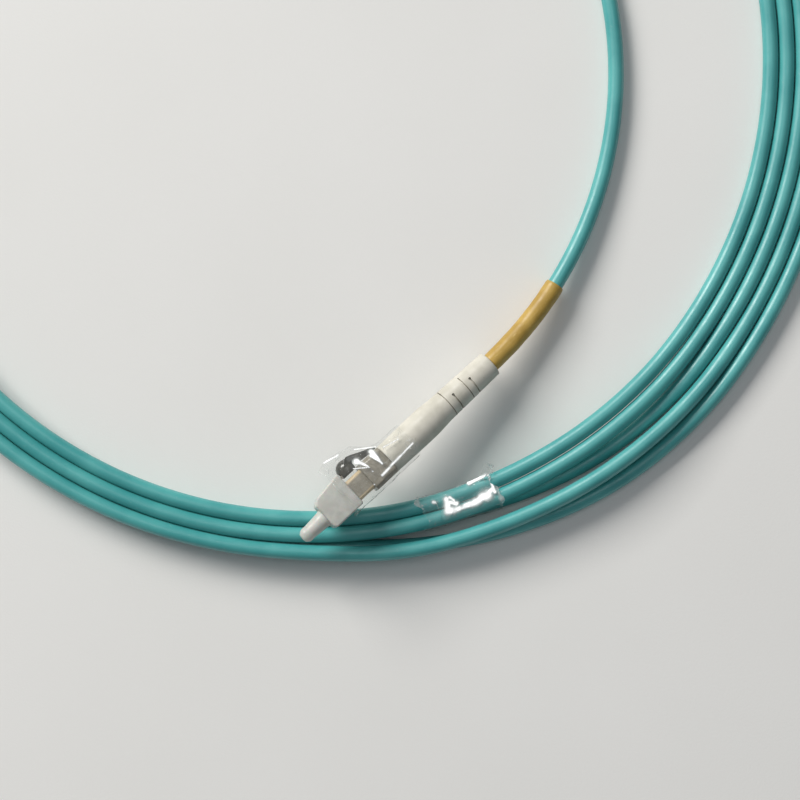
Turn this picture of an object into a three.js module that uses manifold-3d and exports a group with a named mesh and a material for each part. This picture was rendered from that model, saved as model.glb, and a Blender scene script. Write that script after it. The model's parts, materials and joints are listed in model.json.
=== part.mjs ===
// A coiled fibre optic patch cord with a latching plug on each end, in millimetres, +Z up.
// The coil lies flat. Plug A's lead curves back inside the coil, and plug B's lead leaves it outside.
import * as THREE from "three";
import { mergeVertices } from "three/addons/utils/BufferGeometryUtils.js";
import Module from "manifold-3d";

const wasm = await Module();
wasm.setup();

// The cable, from the outside in.
const CABLE_RADIUS = 1.5;
const JACKET_BORE_RADIUS = 0.95;
const YARN_RADIUS = 0.88;
const YARN_BORE_RADIUS = 0.56;
const BUFFER_RADIUS = 0.45;
const FIBRE_RADIUS = 0.0625;

// The coil.
const COIL_RADIUS = 87.7; // the innermost turn's centre line
const LOW_HEIGHT = CABLE_RADIUS + 0.2; // centre line of a turn that lies on the table
const LAYER_RISE = 3.1; // how far the upper layer stands above the lower one
const DEGREES_PER_STATION = 12;
const TURN_START = 130; // where each turn begins, in degrees round the coil
// Where each turn lies: [degrees round the coil, mm outside the innermost turn, layer].
const LANES = [
  [[130, 0, 1], [265, 0, 1], [285, 0.3, 1], [300, 0.2, 1], [312, 0.7, 1],
    [324, 0.7, 0], [410, 0.7, 0], [424, 0.7, 1], [490, 3.05, 1]],
  [[130, 3.05, 1], [265, 3.05, 1], [285, 3.35, 1], [300, 3.3, 1], [312, 3.8, 1],
    [324, 3.8, 0], [424, 3.8, 0], [490, 1.5, 0]],
  [[130, 1.5, 0], [265, 1.5, 0], [285, 2.2, 0], [300, 5.3, 0], [312, 6.9, 0],
    [410, 6.9, 0], [424, 6.9, 1], [490, 6.15, 1]],
  [[130, 6.15, 1], [265, 6.15, 1], [285, 8.1, 1], [300, 8.8, 1], [312, 10, 1],
    [324, 10, 0], [424, 10, 0], [490, 4.6, 0]],
  [[130, 4.6, 0], [265, 4.6, 0], [285, 7.6, 0], [300, 11.3, 0], [312, 13.1, 0],
    [410, 13.1, 0], [475, 27, 0]],
];

// Lead A: an arc inside the coil that ends at the plug, and climbs onto the coil at its other end.
const LEAD_RADIUS = 76;
const LEAD_CENTRE = new THREE.Vector2(-17.2, -2.6);
const LEAD_END = -47; // degrees round the lead's own centre
const LEAD_STATION = 7.35; // degrees between its stations
const LEAD_SEGMENTS = 6;
const LEAD_FLEX = 9.8; // degrees of the section that bends when the plug is lifted
const LEAD_CLIMB = [95, 135]; // degrees round the coil between which it rises to the upper layer
const LEAD_MERGE = 4; // mm over which its arc eases into the innermost turn
const TILT_A = 8; // degrees by which plug A's nose points up, clear of the coil
const TILT_LENGTH = 50; // mm of lead that curve up into that tilt

// Lead B: the outermost turn leaves the coil and ends at plug B.
const TURNS = LANES.length;
const EXIT_END = 475 + 360 * (TURNS - 1);
const EXIT_SEGMENTS = 7;
const EXIT_STATION = 36.8 / EXIT_SEGMENTS;
const EXIT_FLEX = 12;
const PLUG_B_HEIGHT = 3.45;

// The plug, along its own axis: 0 is where the nose leaves the rear body, + is towards the tip.
const BOOT_TAIL = -32.3;
const BOOT_FRONT = -5.35;
const ARC_TO_ORIGIN = 32.4; // from the end of the lead's arc to the plug's origin
const REAR_BODY_BACK = -5.25;
const REAR_BODY_HALF = 3;
const SPIGOT_BACK = -8.2;
const NOSE_HALF = 2.26; // half of the 4.52 mm square nose
const NOSE_BACK = -2;
const NOSE_FRONT = 10.2;
const FERRULE_RADIUS = 0.625;
const FERRULE_TIP = 12.1;
const FLANGE_BACK = 3.2;
const FLANGE_FRONT = 4.95;
const POST_FRONT = -0.6;
const POST_BACK = -14;
const JACKET_END = -10;
const YARN_END = -14.3;
const BUFFER_END = 0.9;
const CAP_RIM = 3.7;
const CAP_TIP = 16.5;
const MARKER_RADIUS = 1.87;
const MARKER_BORE_RADIUS = 1.62;
const MARKER_SEGMENTS = 2;
const SLEEVE_SIDES = 10;
const ROUND_SIDES = 12;
const LATCH_WIDTH = 2.2;
const SHOULDER_WIDTH = 4.2;
const TRIGGER_WIDTH = 3.5;
const PAD_WIDTH = 3.9;
const PAD_RADIUS = 1.76;
const PAD_CENTRE = [1.65, 4.1];
const PAD_BOTTOM = 2.95;
const CAP_WIDTH = 5.8;
const CAP_WALL = 0.5;
const SPRING_RADIUS = 1.15;
const SPRING_WIRE = 0.16;
const SPRING_TURNS = 4.5;
const SPRING_ENDS = [-0.3, 2.9];
const CRIMP_BACK = -16.5;
const CRIMP_FRONT = -8.6;
const BOOT_BORE_RADIUS = 1.62;
const BOOT_SOCKET_RADIUS = 2.35; // the boot's wide bore in front, over the crimp and the spigot

// The boot's flex slots: [x, from, to], in degrees round the boot from +Y towards +Z.
const SLOT_WIDTH = 0.4;
const SLOT_FLOOR_RADIUS = 2.25;
const SLOTS = [[-20.9, -90, 86], [-22.6, -180, 10], [-25.5, -128, 52], [-27, -178, 12]];

// The clear film.
const FILM = 0.13; // its thickness
const PLUG_FILM_BACK = -11;
const PLUG_FILM_FRONT = 5.6;

const radians = THREE.MathUtils.degToRad;
const smooth = (x) => THREE.MathUtils.smoothstep(x, 0, 1);

function finish(color, roughness, metalness = 0) {
  return new THREE.MeshStandardMaterial({ color, roughness, metalness });
}

const FINISHES = {
  jacket: finish(0x4fa8a4, 0.45),
  yarn: finish(0xd9c25a, 0.8),
  buffer: finish(0xf2f4f2, 0.5),
  glass: finish(0xe8f2f5, 0.1),
  ceramic: finish(0xf4f2ea, 0.25),
  metal: finish(0xb9b5a8, 0.35, 0.9),
  plug: finish(0xa39d8b, 0.4),
  boot: finish(0xe0dccf, 0.5),
  marker: finish(0xd9b45c, 0.45),
  cap: finish(0xd7dad8, 0.3),
  film: finish(0xf0f4f4, 0.1),
};

function mesh(name, geometry, material) {
  const made = new THREE.Mesh(geometry, material);
  made.name = name;
  return made;
}

// --- Solids and booleans ---

function solid(geometry) {
  const bare = geometry.index ? geometry.toNonIndexed() : geometry.clone();
  bare.deleteAttribute("normal");
  bare.deleteAttribute("uv");
  const merged = mergeVertices(bare, 1e-4);
  return new wasm.Manifold(
    new wasm.Mesh({
      numProp: 3,
      vertProperties: new Float32Array(merged.attributes.position.array),
      triVerts: new Uint32Array(merged.index.array),
    }),
  );
}

function geometryOf(manifold) {
  const made = manifold.getMesh();
  return new THREE.BufferGeometry()
    .setAttribute("position", new THREE.BufferAttribute(made.vertProperties, 3))
    .setIndex(new THREE.BufferAttribute(made.triVerts, 1));
}

function cut(body, ...tools) {
  return geometryOf(tools.reduce((rest, tool) => rest.subtract(solid(tool)), solid(body)));
}

function join(...bodies) {
  return geometryOf(bodies.map(solid).reduce((all, one) => all.add(one)));
}

// A turned piece: its profile is a list of [x, radius] points, outside first, going towards +X.
function turned(profile, sides, closed = true) {
  const points = profile.map(([x, radius]) => new THREE.Vector2(radius, x));
  if (closed) points.push(points[0].clone());
  return new THREE.LatheGeometry(points, sides).rotateZ(-Math.PI / 2);
}

// A ring of one bore and one outside radius, as a turned piece.
function turnedRing(back, front, radius, bore, sides) {
  return turned([[back, radius], [front, radius], [front, bore], [back, bore]], sides);
}

function outlineOf(points) {
  return new THREE.Shape(points.map(([x, y]) => new THREE.Vector2(x, y)));
}

// A flat piece from its side outline of [x, z] points, as wide as width across Y.
function plate(points, width) {
  const options = { depth: width, bevelEnabled: false };
  return new THREE.ExtrudeGeometry(outlineOf(points), options)
    .rotateX(Math.PI / 2)
    .translate(0, width / 2, 0);
}

// A bar along X from back to front, from its end outline of [y, z] points.
function bar(points, back, front) {
  const options = { depth: front - back, bevelEnabled: false };
  return new THREE.ExtrudeGeometry(outlineOf(points), options)
    .applyMatrix4(new THREE.Matrix4().set(0, 0, 1, back, 1, 0, 0, 0, 0, 1, 0, 0, 0, 0, 0, 1));
}

// The end outline of a square bar with its corners cut off.
function squareOutline(half, corner) {
  const quarter = [[half, -half + corner], [half, half - corner]];
  const points = [];
  for (let turn = 0; turn < 4; turn += 1) {
    for (const [y, z] of quarter) {
      const angle = (turn * Math.PI) / 2;
      points.push([
        y * Math.cos(angle) - z * Math.sin(angle),
        y * Math.sin(angle) + z * Math.cos(angle),
      ]);
    }
  }
  return points;
}

// --- The cable's route ---

// A path through stations. The first and last stations only aim the path's two ends.
class Route extends THREE.Curve {
  constructor(stations) {
    super();
    this.stations = stations;
    this.segments = stations.length - 3;
  }

  getPoint(t, target = new THREE.Vector3()) {
    const at = t * this.segments + 1;
    const index = Math.min(Math.floor(at), this.segments);
    return target.lerpVectors(this.stations[index], this.stations[index + 1], at - index);
  }

  getTangent(t, target = new THREE.Vector3()) {
    const index = Math.round(t * this.segments) + 1;
    return target.subVectors(this.stations[index + 1], this.stations[index - 1]).normalize();
  }

  getUtoTmapping(u) {
    return u;
  }
}

function polygon(radius, sides) {
  const corners = [];
  for (let corner = 0; corner < sides; corner += 1) {
    const angle = (2 * Math.PI * corner) / sides;
    corners.push(new THREE.Vector2(radius * Math.cos(angle), radius * Math.sin(angle)));
  }
  return corners;
}

function tube(route, radius, sides, bore = 0, boreSides = 0) {
  const shape = new THREE.Shape(polygon(radius, sides));
  if (bore > 0) shape.holes.push(new THREE.Path(polygon(bore, boreSides)));
  return new THREE.ExtrudeGeometry(shape, { extrudePath: route, steps: route.segments });
}

// Lead A's distance from the coil's centre, at an angle round the coil.
function leadDistance(degrees) {
  const offset = LEAD_CENTRE.length();
  const angle = radians(degrees) - LEAD_CENTRE.angle();
  const across = offset * Math.sin(angle);
  return offset * Math.cos(angle) + Math.sqrt(LEAD_RADIUS ** 2 - across ** 2);
}

// The smaller of two distances, eased where they meet.
function easedMinimum(one, other, ease) {
  const share = THREE.MathUtils.clamp(0.5 + (other - one) / (2 * ease), 0, 1);
  return THREE.MathUtils.lerp(other, one, share) - ease * share * (1 - share);
}

function laneAt(lane, degrees) {
  const next = Math.max(1, lane.findIndex(([angle]) => angle >= degrees));
  const [fromAngle, fromOut, fromLayer] = lane[next - 1];
  const [toAngle, toOut, toLayer] = lane[next];
  const share = smooth((degrees - fromAngle) / (toAngle - fromAngle));
  return {
    out: THREE.MathUtils.lerp(fromOut, toOut, share),
    layer: THREE.MathUtils.lerp(fromLayer, toLayer, share),
  };
}

function polarPoint(distance, degrees, height) {
  const angle = radians(degrees);
  return new THREE.Vector3(distance * Math.cos(angle), distance * Math.sin(angle), height);
}

// The cord's centre line from lead A's flex to lead B's end, by its total angle round the coil.
function coilPoint(total) {
  if (total < TURN_START) {
    const climb = smooth((total - LEAD_CLIMB[0]) / (LEAD_CLIMB[1] - LEAD_CLIMB[0]));
    const distance = easedMinimum(leadDistance(total), COIL_RADIUS, LEAD_MERGE);
    return polarPoint(distance, total, LOW_HEIGHT + LAYER_RISE * climb);
  }
  const turn = Math.min(TURNS - 1, Math.floor((total - TURN_START) / 360));
  const degrees = total - 360 * turn;
  const { out, layer } = laneAt(LANES[turn], degrees);
  let distance = COIL_RADIUS + out;
  let height = LOW_HEIGHT + LAYER_RISE * layer;
  if (turn === 0 && degrees < 190) {
    distance = easedMinimum(leadDistance(total), COIL_RADIUS, LEAD_MERGE);
  }
  if (turn === TURNS - 1 && total > EXIT_END - 35) {
    height += (PLUG_B_HEIGHT - LOW_HEIGHT) * smooth((total - EXIT_END + 35) / 35);
  }
  return polarPoint(distance, total, height);
}

// Lead A's centre line near the plug, by its angle round the lead's own centre.
function leadPoint(degrees) {
  const length = radians(degrees - LEAD_END) * LEAD_RADIUS;
  const climb = (TILT_LENGTH * Math.tan(radians(TILT_A))) / 2;
  const height = LOW_HEIGHT + climb * Math.max(0, 1 - length / TILT_LENGTH) ** 2;
  const point = polarPoint(LEAD_RADIUS, degrees, height);
  return point.add(new THREE.Vector3(LEAD_CENTRE.x, LEAD_CENTRE.y, 0));
}

function range(count, make) {
  return Array.from({ length: count }, (_, index) => make(index));
}

// Where each plug stands: its origin, its axis, and the frame with its latch on +Z.
function plugPlace(end, heading, tilt) {
  const flat = radians(heading);
  const up = radians(tilt);
  const axis = new THREE.Vector3(
    Math.cos(up) * Math.cos(flat),
    Math.cos(up) * Math.sin(flat),
    Math.sin(up),
  );
  const latch = new THREE.Vector3(Math.sin(flat), -Math.cos(flat), 0);
  const side = new THREE.Vector3().crossVectors(latch, axis);
  const origin = end.clone().addScaledVector(axis, ARC_TO_ORIGIN);
  return { origin, axis, basis: new THREE.Matrix4().makeBasis(axis, side, latch) };
}

const PLACE_A = plugPlace(leadPoint(LEAD_END), LEAD_END - 90, TILT_A);
const PLACE_B = plugPlace(coilPoint(EXIT_END), EXIT_END + 90, 0);

function onAxis(place, x) {
  return place.origin.clone().addScaledVector(place.axis, x);
}

const FLEX_A_START = LEAD_END + LEAD_SEGMENTS * LEAD_STATION;
const FLEX_A_STATIONS = range(3, (i) => leadPoint(FLEX_A_START + (i * LEAD_FLEX) / 2));
const LEAD_A_STATIONS = range(LEAD_SEGMENTS + 1, (i) => leadPoint(LEAD_END + i * LEAD_STATION));

const FLEX_B_END = EXIT_END - EXIT_SEGMENTS * EXIT_STATION;
const FLEX_B_STATIONS = range(3, (i) => coilPoint(FLEX_B_END - (i * EXIT_FLEX) / 2));
const LEAD_B_STATIONS = range(EXIT_SEGMENTS + 1, (i) => coilPoint(EXIT_END - i * EXIT_STATION));

const COIL_END = FLEX_B_END - EXIT_FLEX;
const COIL_SEGMENTS = 155;
const COIL_STATIONS = range(COIL_SEGMENTS, (i) =>
  coilPoint(COIL_END - i * DEGREES_PER_STATION),
).concat([FLEX_A_STATIONS[2]]);

// A lead's route runs from the plug's axis, x mm along it, to the flex.
function leadRoute(place, x, stations, flex) {
  return new Route([onAxis(place, x + 1), onAxis(place, x), ...stations, flex[1]]);
}

// The three layers of one length of cable, each on its own route.
function cableLayers(name, jacketRoute, yarnRoute = jacketRoute, bufferRoute = jacketRoute) {
  return [
    mesh(`${name}_jacket`, tube(jacketRoute, CABLE_RADIUS, 8, JACKET_BORE_RADIUS, 5), FINISHES.jacket),
    mesh(`${name}_aramid_yarn`, tube(yarnRoute, YARN_RADIUS, 5, YARN_BORE_RADIUS, 4), FINISHES.yarn),
    mesh(`${name}_buffered_fibre`, tube(bufferRoute, BUFFER_RADIUS, 4), FINISHES.buffer),
  ];
}

function cord() {
  const coil = new Route([FLEX_B_STATIONS[1], ...COIL_STATIONS, FLEX_A_STATIONS[1]]);
  const flexA = new Route([
    COIL_STATIONS.at(-2),
    ...FLEX_A_STATIONS.toReversed(),
    LEAD_A_STATIONS.at(-2),
  ]);
  const flexB = new Route([LEAD_B_STATIONS.at(-2), ...FLEX_B_STATIONS, COIL_STATIONS[1]]);
  const leadA = (x) => leadRoute(PLACE_A, x, LEAD_A_STATIONS, FLEX_A_STATIONS);
  const leadB = (x) => leadRoute(PLACE_B, x, LEAD_B_STATIONS, FLEX_B_STATIONS);
  return [
    ...cableLayers("coil", coil),
    ...cableLayers("flex_a", flexA),
    ...cableLayers("flex_b", flexB),
    ...cableLayers("lead_a", leadA(JACKET_END), leadA(YARN_END), leadA(BUFFER_END)),
    ...cableLayers("lead_b", leadB(JACKET_END), leadB(YARN_END), leadB(BUFFER_END)),
  ];
}

// The coloured tube shrunk onto the cable behind the boot.
function markerSleeve(end, place, stations) {
  const run = stations.slice(0, MARKER_SEGMENTS + 2);
  const route = new Route([onAxis(place, JACKET_END), ...run]);
  const geometry = tube(route, MARKER_RADIUS, SLEEVE_SIDES, MARKER_BORE_RADIUS, SLEEVE_SIDES);
  return mesh(`marker_sleeve_${end}`, geometry, FINISHES.marker);
}

// --- The pieces of one plug, in the plug's own frame ---

function ferrule() {
  const hole = 0.1;
  const back = FLANGE_BACK + 0.25;
  return turned([
    [back, FERRULE_RADIUS],
    [FERRULE_TIP - 0.3, FERRULE_RADIUS],
    [FERRULE_TIP, FERRULE_RADIUS - 0.18],
    [FERRULE_TIP, hole],
    [back, hole],
  ], SLEEVE_SIDES);
}

function bareFibre() {
  return turned([
    [2.2, 0],
    [2.2, FIBRE_RADIUS],
    [FERRULE_TIP - 0.02, FIBRE_RADIUS],
    [FERRULE_TIP - 0.02, 0],
  ], 5, false);
}

function ferruleFlange() {
  const socket = FERRULE_RADIUS + 0.04;
  const seat = FLANGE_BACK + 0.2;
  const tail = 1;
  return turned([
    [tail, 0.75],
    [FLANGE_BACK, 0.75],
    [FLANGE_BACK, 1.4],
    [FLANGE_FRONT, 1.4],
    [FLANGE_FRONT, socket],
    [seat, socket],
    [seat, 0.5],
    [tail, 0.5],
  ], SLEEVE_SIDES);
}

// A helix of wire between the crimp post and the ferrule's flange.
function ferruleSpring() {
  const stationsPerTurn = 7;
  const steps = SPRING_TURNS * stationsPerTurn;
  const stations = range(Math.round(steps + 3), (i) => {
    const share = (i - 1) / steps;
    const angle = share * SPRING_TURNS * 2 * Math.PI;
    const x = THREE.MathUtils.lerp(...SPRING_ENDS, share);
    return new THREE.Vector3(x, SPRING_RADIUS * Math.cos(angle), SPRING_RADIUS * Math.sin(angle));
  });
  return tube(new Route(stations), SPRING_WIRE, 4);
}

function plugHousing() {
  const bore = turned([
    [NOSE_BACK - 0.2, 0],
    [NOSE_BACK - 0.2, 1.7],
    [5, 1.7],
    [5, 0.72],
    [6, 0.72],
    [6, 1.45],
    [NOSE_FRONT + 0.2, 1.45],
    [NOSE_FRONT + 0.2, 0],
  ], ROUND_SIDES, false);
  return cut(bar(squareOutline(NOSE_HALF, 0.25), NOSE_BACK, NOSE_FRONT), bore);
}

// The springy arm on top of the nose, with the two shoulders that catch in a port.
function latchArm() {
  const arm = plate([
    [9.4, 2.36],
    [9.4, 2.7],
    [8.9, 3],
    [0.7, 4],
    [0.7, 3.3],
    [7.9, 2.7],
    [8.5, 2.36],
  ], LATCH_WIDTH);
  const shoulders = plate([[3.9, 3.1], [5, 2.96], [5, 3.44], [3.9, 3.58]], SHOULDER_WIDTH);
  return join(arm, shoulders);
}

function rearBody() {
  const shell = bar(squareOutline(REAR_BODY_HALF, 0.7), REAR_BODY_BACK, 0);
  const spigot = turned([
    [SPIGOT_BACK, 0],
    [SPIGOT_BACK, 2.15],
    [REAR_BODY_BACK + 0.5, 2.15],
    [REAR_BODY_BACK + 0.5, 0],
  ], ROUND_SIDES, false);
  const pocket = bar(squareOutline(NOSE_HALF + 0.05, 0.25), NOSE_BACK - 0.05, 0.5);
  const bore = turned([
    [SPIGOT_BACK - 0.5, 0],
    [SPIGOT_BACK - 0.5, 1.8],
    [NOSE_BACK + 0.2, 1.8],
    [NOSE_BACK + 0.2, 0],
  ], ROUND_SIDES, false);
  return cut(join(shell, spigot), pocket, bore);
}

// The thumb lever on the rear body. Its round pad hoods the latch arm's free end and presses it down.
function trigger() {
  const [padX, padZ] = PAD_CENTRE;
  const lever = plate([
    [-5, 3.06],
    [-3.6, 3.06],
    [-2.6, 3.6],
    [-0.4, 4.4],
    [padX, 4.4],
    [padX, padZ + PAD_RADIUS - 0.1],
    [-0.6, 5.4],
    [-3, 4.3],
    [-5, 3.7],
  ], TRIGGER_WIDTH);
  const rim = polygon(PAD_RADIUS, 16).map(({ x, y }) => [padX + x, padZ + y]);
  const latchRoom = plate([[-0.6, 2], [4, 2], [4, padZ], [-0.6, padZ]], LATCH_WIDTH + 0.4);
  const below = plate([[-0.6, 2], [4, 2], [4, PAD_BOTTOM], [-0.6, PAD_BOTTOM]], PAD_WIDTH + 1);
  return cut(join(lever, plate(rim, PAD_WIDTH)), latchRoom, below);
}

// The metal post that holds the spring in and takes the crimp.
function crimpPost() {
  const bore = 0.55;
  return turned([
    [POST_BACK, 0.74],
    [-3.6, 0.74],
    [-3.6, 1.7],
    [-2.3, 1.7],
    [-2.3, 1.55],
    [POST_FRONT, 1.55],
    [POST_FRONT, bore],
    [POST_BACK, bore],
  ], SLEEVE_SIDES);
}

// A sector of a ring that cuts one flex slot part of the way round the boot.
function bootSlot([x, from, to]) {
  const beyondBoot = 4;
  const shape = new THREE.Shape();
  shape.absarc(0, 0, beyondBoot, radians(from), radians(to), false);
  shape.absarc(0, 0, SLOT_FLOOR_RADIUS, radians(to), radians(from), true);
  const options = { depth: SLOT_WIDTH, bevelEnabled: false, curveSegments: 7 };
  return new THREE.ExtrudeGeometry(shape, options)
    .rotateZ(Math.PI / 2)
    .rotateY(Math.PI / 2)
    .translate(x - SLOT_WIDTH / 2, 0, 0);
}

// The soft boot: a smooth grip in front, a slimmer slotted tail behind.
function boot() {
  const shell = turned([
    [BOOT_TAIL, 2.45],
    [BOOT_TAIL + 0.3, 2.65],
    [-21.5, 2.82],
    [-19.5, 2.86],
    [-16, 3.12],
    [-11, 3.1],
    [BOOT_FRONT, 3.03],
    [BOOT_FRONT, BOOT_SOCKET_RADIUS],
    [-17.5, BOOT_SOCKET_RADIUS],
    [-18.3, BOOT_BORE_RADIUS],
    [BOOT_TAIL, BOOT_BORE_RADIUS],
  ], 16);
  return cut(shell, ...SLOTS.map(bootSlot));
}

// The dust cap: a skirt over the nose and its latch, and a slim nib over the ferrule.
function dustCap() {
  const skirt = plate([
    [CAP_RIM, -2.9],
    [10.3, -2.9],
    [10.8, -2.4],
    [10.8, 2.7],
    [9.8, 3.6],
    [CAP_RIM, 4.45],
  ], CAP_WIDTH);
  const nib = turned([
    [10.4, 0],
    [10.4, 1.8],
    [12, 1.6],
    [CAP_TIP - 0.4, 1.3],
    [CAP_TIP, 0.9],
    [CAP_TIP, 0],
  ], ROUND_SIDES, false);
  const hollow = plate([
    [CAP_RIM - 0.5, -2.4],
    [10.3, -2.4],
    [10.3, 2.5],
    [9.6, 3.15],
    [CAP_RIM - 0.5, 4],
  ], CAP_WIDTH - 2 * CAP_WALL);
  const ferruleHole = turned([
    [10, 0],
    [10, 0.95],
    [14.5, 0.85],
    [14.5, 0],
  ], ROUND_SIDES, false);
  return cut(join(skirt, nib), hollow, ferruleHole);
}

// Clear packing film wrapped round the plug's head.
function plugFilm() {
  const outline = (gap) => [
    [-3 - gap / 2, -3.3 - gap],
    [3 + gap / 2, -3.3 - gap],
    [3.4 + gap, -2.8 - gap / 2],
    [3.4 + gap, 4 + gap / 2],
    [2.3 + gap / 2, 6.15 + gap],
    [-2.3 - gap / 2, 6.15 + gap],
    [-3.4 - gap, 4 + gap / 2],
    [-3.4 - gap, -2.8 - gap / 2],
  ];
  const film = bar(outline(FILM), PLUG_FILM_BACK, PLUG_FILM_FRONT);
  return cut(film, bar(outline(0), PLUG_FILM_BACK - 1, PLUG_FILM_FRONT + 1));
}

function plug(end, place, stations) {
  const pieces = new THREE.Group();
  pieces.position.copy(place.origin);
  pieces.quaternion.setFromRotationMatrix(place.basis);
  const add = (name, geometry, material) => pieces.add(mesh(`${name}_${end}`, geometry, material));
  add("ferrule", ferrule(), FINISHES.ceramic);
  add("bare_fibre", bareFibre(), FINISHES.glass);
  add("ferrule_flange", ferruleFlange(), FINISHES.metal);
  add("ferrule_spring", ferruleSpring(), FINISHES.metal);
  add("plug_housing", plugHousing(), FINISHES.plug);
  add("latch_arm", latchArm(), FINISHES.plug);
  add("rear_body", rearBody(), FINISHES.plug);
  add("trigger", trigger(), FINISHES.plug);
  add("crimp_post", crimpPost(), FINISHES.metal);
  add("crimp_sleeve", turnedRing(CRIMP_BACK, CRIMP_FRONT, 2, 1.6, ROUND_SIDES), FINISHES.metal);
  add("boot", boot(), FINISHES.boot);
  add("dust_cap", dustCap(), FINISHES.cap);
  return [pieces, markerSleeve(end, place, stations)];
}

// --- Film ties round the coil ---

// A band of film round the turns at an angle: [from, to] mm out from the innermost turn.
function coilTie(name, degrees, length, top, bottom) {
  const low = FILM;
  const high = LOW_HEIGHT + LAYER_RISE + CABLE_RADIUS + 0.3;
  const outline = (gap) => [
    [bottom[0] - gap / 2, low - gap],
    [bottom[1] + gap / 2, low - gap],
    [top[1] + gap, low + 1.2 - gap / 2],
    [top[1] + gap, high - 0.5 + gap / 2],
    [top[1] - 0.5 + gap / 2, high + gap],
    [top[0] + 0.5 - gap / 2, high + gap],
    [top[0] - gap, high - 0.5 + gap / 2],
    [top[0] - gap, high - 3 - gap / 2],
  ];
  const band = (gap, depth) =>
    new THREE.ExtrudeGeometry(outlineOf(outline(gap)), { depth, bevelEnabled: false })
      .translate(0, 0, -depth / 2);
  const made = mesh(name, cut(band(FILM, length), band(0, length + 1)), FINISHES.film);
  const out = polarPoint(1, degrees, 0);
  const up = new THREE.Vector3(0, 0, 1);
  const along = new THREE.Vector3().crossVectors(out, up);
  made.quaternion.setFromRotationMatrix(new THREE.Matrix4().makeBasis(out, up, along));
  made.position.copy(out).multiplyScalar(COIL_RADIUS);
  return made;
}

function patchCord() {
  const whole = new THREE.Group();
  whole.add(...cord());
  whole.add(...plug("a", PLACE_A, LEAD_A_STATIONS));
  whole.add(...plug("b", PLACE_B, LEAD_B_STATIONS));
  const film = mesh("plug_film_a", plugFilm(), FINISHES.film);
  film.position.copy(PLACE_A.origin);
  film.quaternion.setFromRotationMatrix(PLACE_A.basis);
  whole.add(film);
  whole.add(coilTie("coil_tie_front", 288.8, 14.5, [-2.3, 5.5], [0.8, 4.5]));
  whole.add(coilTie("coil_tie_back", 186, 9.5, [-2.4, 8.1], [-1.2, 7]));
  return whole;
}

// The origin is the centre of the cord's footprint on the table.
function centred(whole) {
  const box = new THREE.Box3().setFromObject(whole, true);
  const middle = box.getCenter(new THREE.Vector3());
  whole.position.set(-middle.x, -middle.y, -box.min.z);
  return whole;
}

export default centred(patchCord());
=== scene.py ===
"""The looks of a coiled fibre optic patch cord with a latching plug on each end, built round its CAD frame.

Shapes are worked out in millimetres. A plug's pieces are built in the plug's own frame: x runs towards the
tip, with 0 where the nose leaves the rear body, and z runs towards the latch.
"""
import json
import math

import bmesh
import bpy
import numpy as np
from mathutils import Matrix, Vector, noise


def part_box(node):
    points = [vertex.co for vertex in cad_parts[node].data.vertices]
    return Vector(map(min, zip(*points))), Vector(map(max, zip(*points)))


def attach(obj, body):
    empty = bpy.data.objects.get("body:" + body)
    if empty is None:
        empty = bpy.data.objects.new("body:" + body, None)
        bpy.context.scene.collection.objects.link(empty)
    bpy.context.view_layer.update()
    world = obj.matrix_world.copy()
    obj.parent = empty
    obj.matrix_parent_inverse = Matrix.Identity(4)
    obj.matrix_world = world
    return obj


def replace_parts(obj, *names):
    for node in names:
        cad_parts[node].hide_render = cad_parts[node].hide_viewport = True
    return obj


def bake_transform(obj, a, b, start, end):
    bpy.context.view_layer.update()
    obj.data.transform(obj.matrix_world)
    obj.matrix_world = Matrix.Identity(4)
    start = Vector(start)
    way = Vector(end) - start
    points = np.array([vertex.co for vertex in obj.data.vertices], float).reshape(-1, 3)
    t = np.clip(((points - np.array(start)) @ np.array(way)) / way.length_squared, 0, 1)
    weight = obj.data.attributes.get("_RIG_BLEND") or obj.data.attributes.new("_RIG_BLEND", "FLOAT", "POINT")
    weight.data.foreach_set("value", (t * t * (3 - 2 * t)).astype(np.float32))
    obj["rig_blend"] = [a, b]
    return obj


MM = 0.001
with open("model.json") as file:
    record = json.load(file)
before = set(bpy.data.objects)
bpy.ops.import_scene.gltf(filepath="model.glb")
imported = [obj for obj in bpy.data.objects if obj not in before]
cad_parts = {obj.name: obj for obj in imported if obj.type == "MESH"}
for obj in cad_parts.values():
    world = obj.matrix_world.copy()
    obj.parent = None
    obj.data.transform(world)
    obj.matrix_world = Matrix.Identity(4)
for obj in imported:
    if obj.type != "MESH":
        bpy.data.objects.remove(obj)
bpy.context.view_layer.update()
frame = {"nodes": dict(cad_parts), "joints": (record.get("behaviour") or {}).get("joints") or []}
JOINTS = {joint["name"]: joint for joint in frame["joints"]}

# The cable, from the outside in: the material slot, radius, bore and sides of each layer, and the x of its
# end in a plug.
CABLE_RADIUS = 1.5
BUFFER_END = 0.9
LAYERS = {
    "jacket": ("cable_jacket", CABLE_RADIUS, 0.95, 28, -10.0),
    "aramid_yarn": ("aramid_yarn", 0.88, 0.56, 12, -14.3),
    "buffered_fibre": ("fibre_buffer", 0.45, 0.0, 10, BUFFER_END),
}
MARKER_RADIUS = 1.87
MARKER_BORE_RADIUS = 1.62

# The plug.
BOOT_TAIL = -32.3
BOOT_FRONT = -5.35
BOOT_BORE_RADIUS = 1.64
BOOT_SOCKET_RADIUS = 2.36
REAR_BODY_BACK = -5.25
REAR_BODY_HALF = 3
NOSE_BACK = -2
NOSE_FRONT = 10.2
NOSE_HALF = 2.26
NOSE_CORNER = 0.42
NOSE_BORE_RADIUS = 1.7
TRIGGER_HINGE = (-3.9, 3.3)
TRIGGER_WIDTH = 3.5
LATCH_WIDTH = 2.2
SHOULDER_WIDTH = 4.2
CAP_RIM = 3.7
CAP_WIDTH = 5.8
FERRULE_RADIUS = 0.625
FERRULE_BORE_RADIUS = 0.1

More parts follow.
